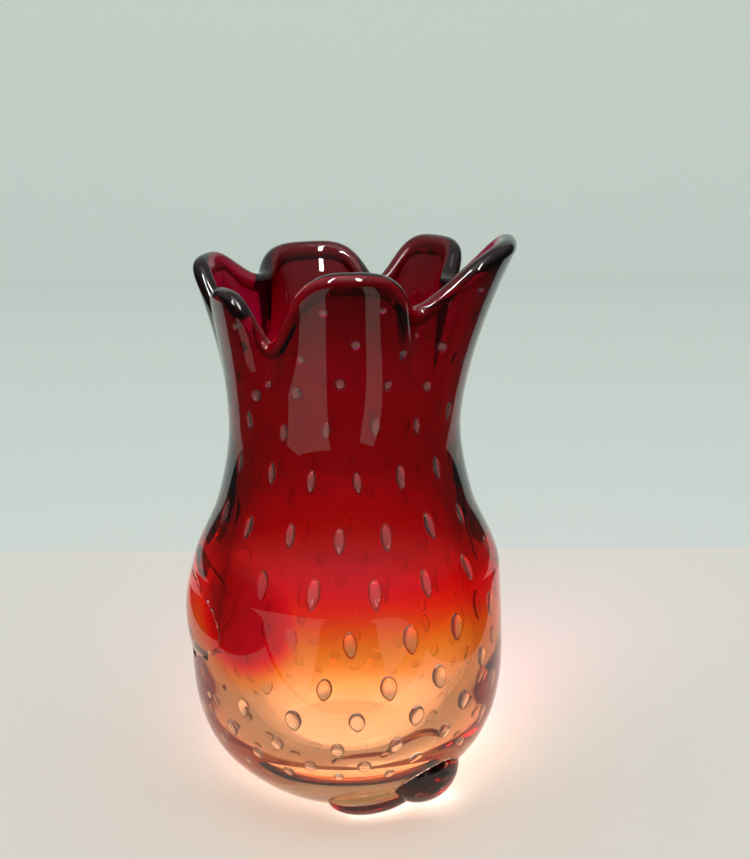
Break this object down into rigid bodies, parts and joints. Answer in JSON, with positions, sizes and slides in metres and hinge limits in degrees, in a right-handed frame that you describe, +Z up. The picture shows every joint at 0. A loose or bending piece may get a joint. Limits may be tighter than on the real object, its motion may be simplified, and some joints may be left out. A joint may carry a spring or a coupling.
{
  "type": "blown glass vase",
  "caption": "Heavy cased art glass vase, ruby shading to amber, with trapped air bubbles, a ruffled petal rim and applied clear bits.",
  "frame": {"origin": "middle of the flat foot, on the surface that the vase stands on", "axes": "+Z up along the axis of the blown body; -Y is the front, with the long applied bit on the heel to the right of it; +X to the right"},
  "size_m": [0.1285, 0.1242, 0.2215],
  "materials": {
    "clear_casing_glass": "fire polished",
    "ruby_amber_glass": "fire polished",
    "applied_clear_glass": "fire polished"
  },
  "bodies": {
    "root": {"clear_casing": "clear_casing_glass", "colour_bubble": "ruby_amber_glass", "side_bit": "applied_clear_glass", "heel_bit": "applied_clear_glass"}
  },
  "joints": []
}
